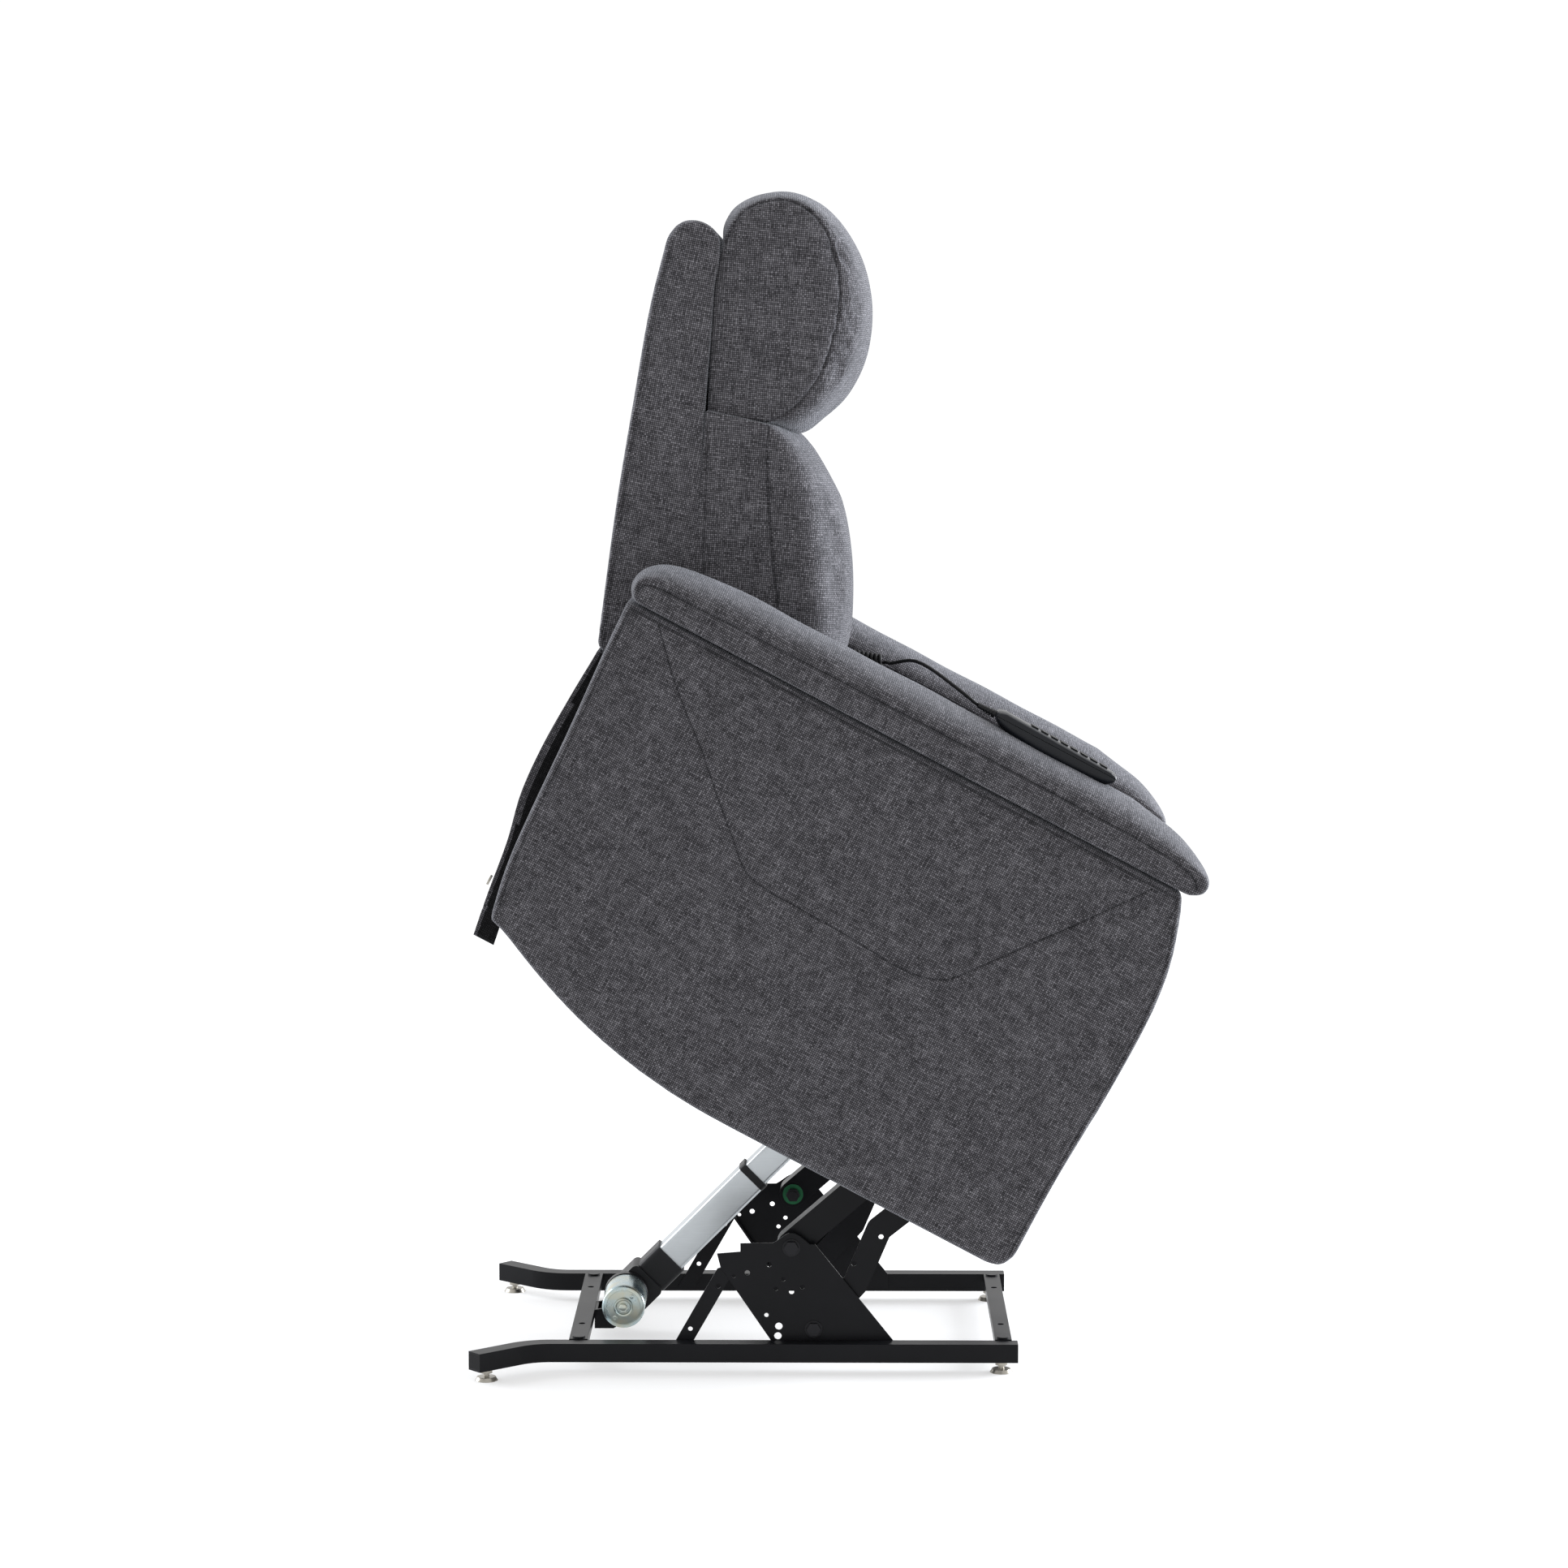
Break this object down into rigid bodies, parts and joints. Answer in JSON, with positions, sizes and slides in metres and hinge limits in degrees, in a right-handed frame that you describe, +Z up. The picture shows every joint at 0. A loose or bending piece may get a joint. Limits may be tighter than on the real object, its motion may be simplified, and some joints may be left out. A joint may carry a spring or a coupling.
{
  "type": "lift recliner chair",
  "caption": "Upholstered powered riser recliner shown raised and tilted forward on a scissor lift base, with a cabled handset on the right arm.",
  "frame": {"origin": "on the floor, central under the raised chair's outline in X and Y", "axes": "+X the way the sitter faces, +Y the sitter's left, +Z up"},
  "size_m": [0.9673, 0.836, 1.5743],
  "materials": {
    "fabric": "chunky charcoal weave",
    "black_steel": "satin black powder coat",
    "zinc_steel": "zinc plated",
    "black_bolt": "black oxide",
    "green_plastic": "green nylon",
    "aluminium_tube": "satin anodised",
    "black_plastic": "satin black",
    "rod_steel": "bright drawn",
    "timber": "plain plywood",
    "cord_rubber": "satin black"
  },
  "bodies": {
    "base": {"base_rails": "black_steel", "base_crossbars": "black_steel", "levelling_feet": "zinc_steel", "lift_plates": "black_steel", "rear_braces": "black_steel", "actuator_bracket": "black_steel", "lift_pivot_bolts": "black_bolt", "lift_pivot_bushes": "green_plastic"},
    "rear_link": {"rear_lift_links": "black_steel", "rear_link_cross_tube": "black_steel"},
    "front_link": {"front_lift_links": "black_steel", "front_link_tie_rod": "black_steel"},
    "lift_actuator": {"lift_gearbox": "black_plastic", "lift_motor": "zinc_steel", "lift_outer_tube": "aluminium_tube", "lift_tube_collar": "black_plastic"},
    "lift_actuator_rod": {"lift_inner_tube": "aluminium_tube"},
    "chassis": {"chassis_plates": "black_steel", "chassis_cross_tubes": "black_steel", "seat_frame": "timber", "seat_springs": "rod_steel", "seat_cushion": "fabric", "control_box": "black_plastic", "arm_panel_right": "fabric", "arm_panel_left": "fabric", "arm_inner_panels": "fabric", "arm_frames": "timber", "arm_pad_right": "fabric", "arm_pad_left": "fabric", "rear_flap": "fabric", "flap_snaps": "zinc_steel", "handset_lower_case": "black_plastic", "handset_upper_case": "black_plastic", "handset_strain_relief": "cord_rubber", "cord_upper": "cord_rubber", "cord_curl": "cord_rubber", "cord_lower": "cord_rubber", "cord_gland": "black_plastic"},
    "backrest": {"back_frame": "black_steel", "back_shell": "fabric", "back_cushion": "fabric", "headrest_bracket": "black_steel"},
    "headrest": {"head_pillow": "fabric", "headrest_pins": "zinc_steel"},
    "back_actuator": {"back_actuator_housing": "black_plastic"},
    "back_actuator_rod": {"back_actuator_rod": "rod_steel"},
    "leg_actuator": {"leg_actuator_housing": "black_plastic"},
    "leg_actuator_rod": {"leg_actuator_rod": "rod_steel"},
    "leg_lower": {"leg_lower_links": "black_steel"},
    "leg_upper": {"leg_upper_links": "black_steel"},
    "legrest": {"legrest_board": "timber", "legrest_pad": "fabric"},
    "key_1": {"key_1": "black_plastic"},
    "key_2": {"key_2": "black_plastic"},
    "key_3": {"key_3": "black_plastic"},
    "key_4": {"key_4": "black_plastic"},
    "key_5": {"key_5": "black_plastic"},
    "key_6": {"key_6": "black_plastic"},
    "key_7": {"key_7": "black_plastic"},
    "key_8": {"key_8": "black_plastic"}
  },
  "joints": [
    {"name": "lift", "type": "hinge", "parent": "base", "child": "rear_link", "pos_m": [-0.05538, 0, 0.1661], "axis": [0, 1, 0], "range_deg": [0, 49.2]},
    {"name": "chair_tilt", "type": "hinge", "parent": "rear_link", "child": "chassis", "pos_m": [0.1417, 0, 0.3365], "axis": [0, 1, 0], "range_deg": [-77.2, 0]},
    {"name": "front_link_swing", "type": "hinge", "parent": "base", "child": "front_link", "pos_m": [-0.02538, 0, 0.0549], "axis": [0, 1, 0], "range_deg": [0, 46.6]},
    {"name": "lift_actuator_swing", "type": "hinge", "parent": "base", "child": "lift_actuator", "pos_m": [-0.30668, 0, 0.028], "axis": [0, 1, 0], "range_deg": [0, 30.98]},
    {"name": "lift_actuator_stroke", "type": "slide", "parent": "lift_actuator", "child": "lift_actuator_rod", "axis": [0.707, 0, 0.7072], "range_m": [-0.08188, 0]},
    {"name": "backrest_recline", "type": "hinge", "parent": "chassis", "child": "backrest", "pos_m": [-0.15358, 0, 0.83554], "axis": [0, 1, 0], "range_deg": [-40, 0], "deforming": ["rear_flap"]},
    {"name": "back_actuator_swing", "type": "hinge", "parent": "chassis", "child": "back_actuator", "pos_m": [0.0871, 0.09, 0.53202], "axis": [0, 1, 0], "range_deg": [0, 2.62]},
    {"name": "back_actuator_stroke", "type": "slide", "parent": "back_actuator", "child": "back_actuator_rod", "axis": [-0.7898, 0, 0.6134], "range_m": [-0.06075, 0]},
    {"name": "headrest_tilt", "type": "hinge", "parent": "backrest", "child": "headrest", "pos_m": [-0.10424, 0, 1.26913], "axis": [0, 1, 0], "range_deg": [0, 20]},
    {"name": "legrest_lift", "type": "hinge", "parent": "chassis", "child": "leg_lower", "pos_m": [0.22329, 0, 0.5219], "axis": [0, 1, 0], "range_deg": [-63.3, 0]},
    {"name": "leg_knee", "type": "hinge", "parent": "leg_lower", "child": "leg_upper", "pos_m": [0.18237, 0, 0.31714], "axis": [0, 1, 0], "range_deg": [0, 119.89]},
    {"name": "legrest_board_turn", "type": "hinge", "parent": "leg_upper", "child": "legrest", "pos_m": [0.33891, 0, 0.4944], "axis": [0, 1, 0], "range_deg": [-134.58, 0]},
    {"name": "leg_actuator_swing", "type": "hinge", "parent": "chassis", "child": "leg_actuator", "pos_m": [-0.15213, -0.09, 0.62525], "axis": [0, 1, 0], "range_deg": [0, 1.75]},
    {"name": "leg_actuator_stroke", "type": "slide", "parent": "leg_actuator", "child": "leg_actuator_rod", "axis": [0.9242, 0, -0.3818], "range_m": [0, 0.06241]},
    {"name": "press_key_1", "type": "slide", "parent": "chassis", "child": "key_1", "axis": [-0.4943, 0, -0.8693], "range_m": [0, 0.0009], "stiffness_N_per_m": 900},
    {"name": "press_key_2", "type": "slide", "parent": "chassis", "child": "key_2", "axis": [-0.4943, 0, -0.8693], "range_m": [0, 0.0009], "stiffness_N_per_m": 900},
    {"name": "press_key_3", "type": "slide", "parent": "chassis", "child": "key_3", "axis": [-0.4943, 0, -0.8693], "range_m": [0, 0.0009], "stiffness_N_per_m": 900},
    {"name": "press_key_4", "type": "slide", "parent": "chassis", "child": "key_4", "axis": [-0.4943, 0, -0.8693], "range_m": [0, 0.0009], "stiffness_N_per_m": 900},
    {"name": "press_key_5", "type": "slide", "parent": "chassis", "child": "key_5", "axis": [-0.4943, 0, -0.8693], "range_m": [0, 0.0009], "stiffness_N_per_m": 900},
    {"name": "press_key_6", "type": "slide", "parent": "chassis", "child": "key_6", "axis": [-0.4943, 0, -0.8693], "range_m": [0, 0.0009], "stiffness_N_per_m": 900},
    {"name": "press_key_7", "type": "slide", "parent": "chassis", "child": "key_7", "axis": [-0.4943, 0, -0.8693], "range_m": [0, 0.0009], "stiffness_N_per_m": 900},
    {"name": "press_key_8", "type": "slide", "parent": "chassis", "child": "key_8", "axis": [-0.4943, 0, -0.8693], "range_m": [0, 0.0009], "stiffness_N_per_m": 900}
  ],
  "couplings": [
    {"joint": "chair_tilt", "follows": "lift", "ratio": -1.5691},
    {"joint": "front_link_swing", "follows": "lift", "ratio": 0.94715},
    {"joint": "lift_actuator_swing", "follows": "lift", "ratio": 0.6296},
    {"joint": "lift_actuator_stroke", "follows": "lift", "m_per_rad": -0.09534},
    {"joint": "back_actuator_swing", "follows": "backrest_recline", "ratio": -0.0654},
    {"joint": "back_actuator_stroke", "follows": "backrest_recline", "m_per_rad": 0.087004},
    {"joint": "leg_knee", "follows": "legrest_lift", "ratio": -1.894},
    {"joint": "legrest_board_turn", "follows": "legrest_lift", "ratio": 2.126},
    {"joint": "leg_actuator_swing", "follows": "legrest_lift", "ratio": -0.0277},
    {"joint": "leg_actuator_stroke", "follows": "legrest_lift", "m_per_rad": -0.056482}
  ]
}
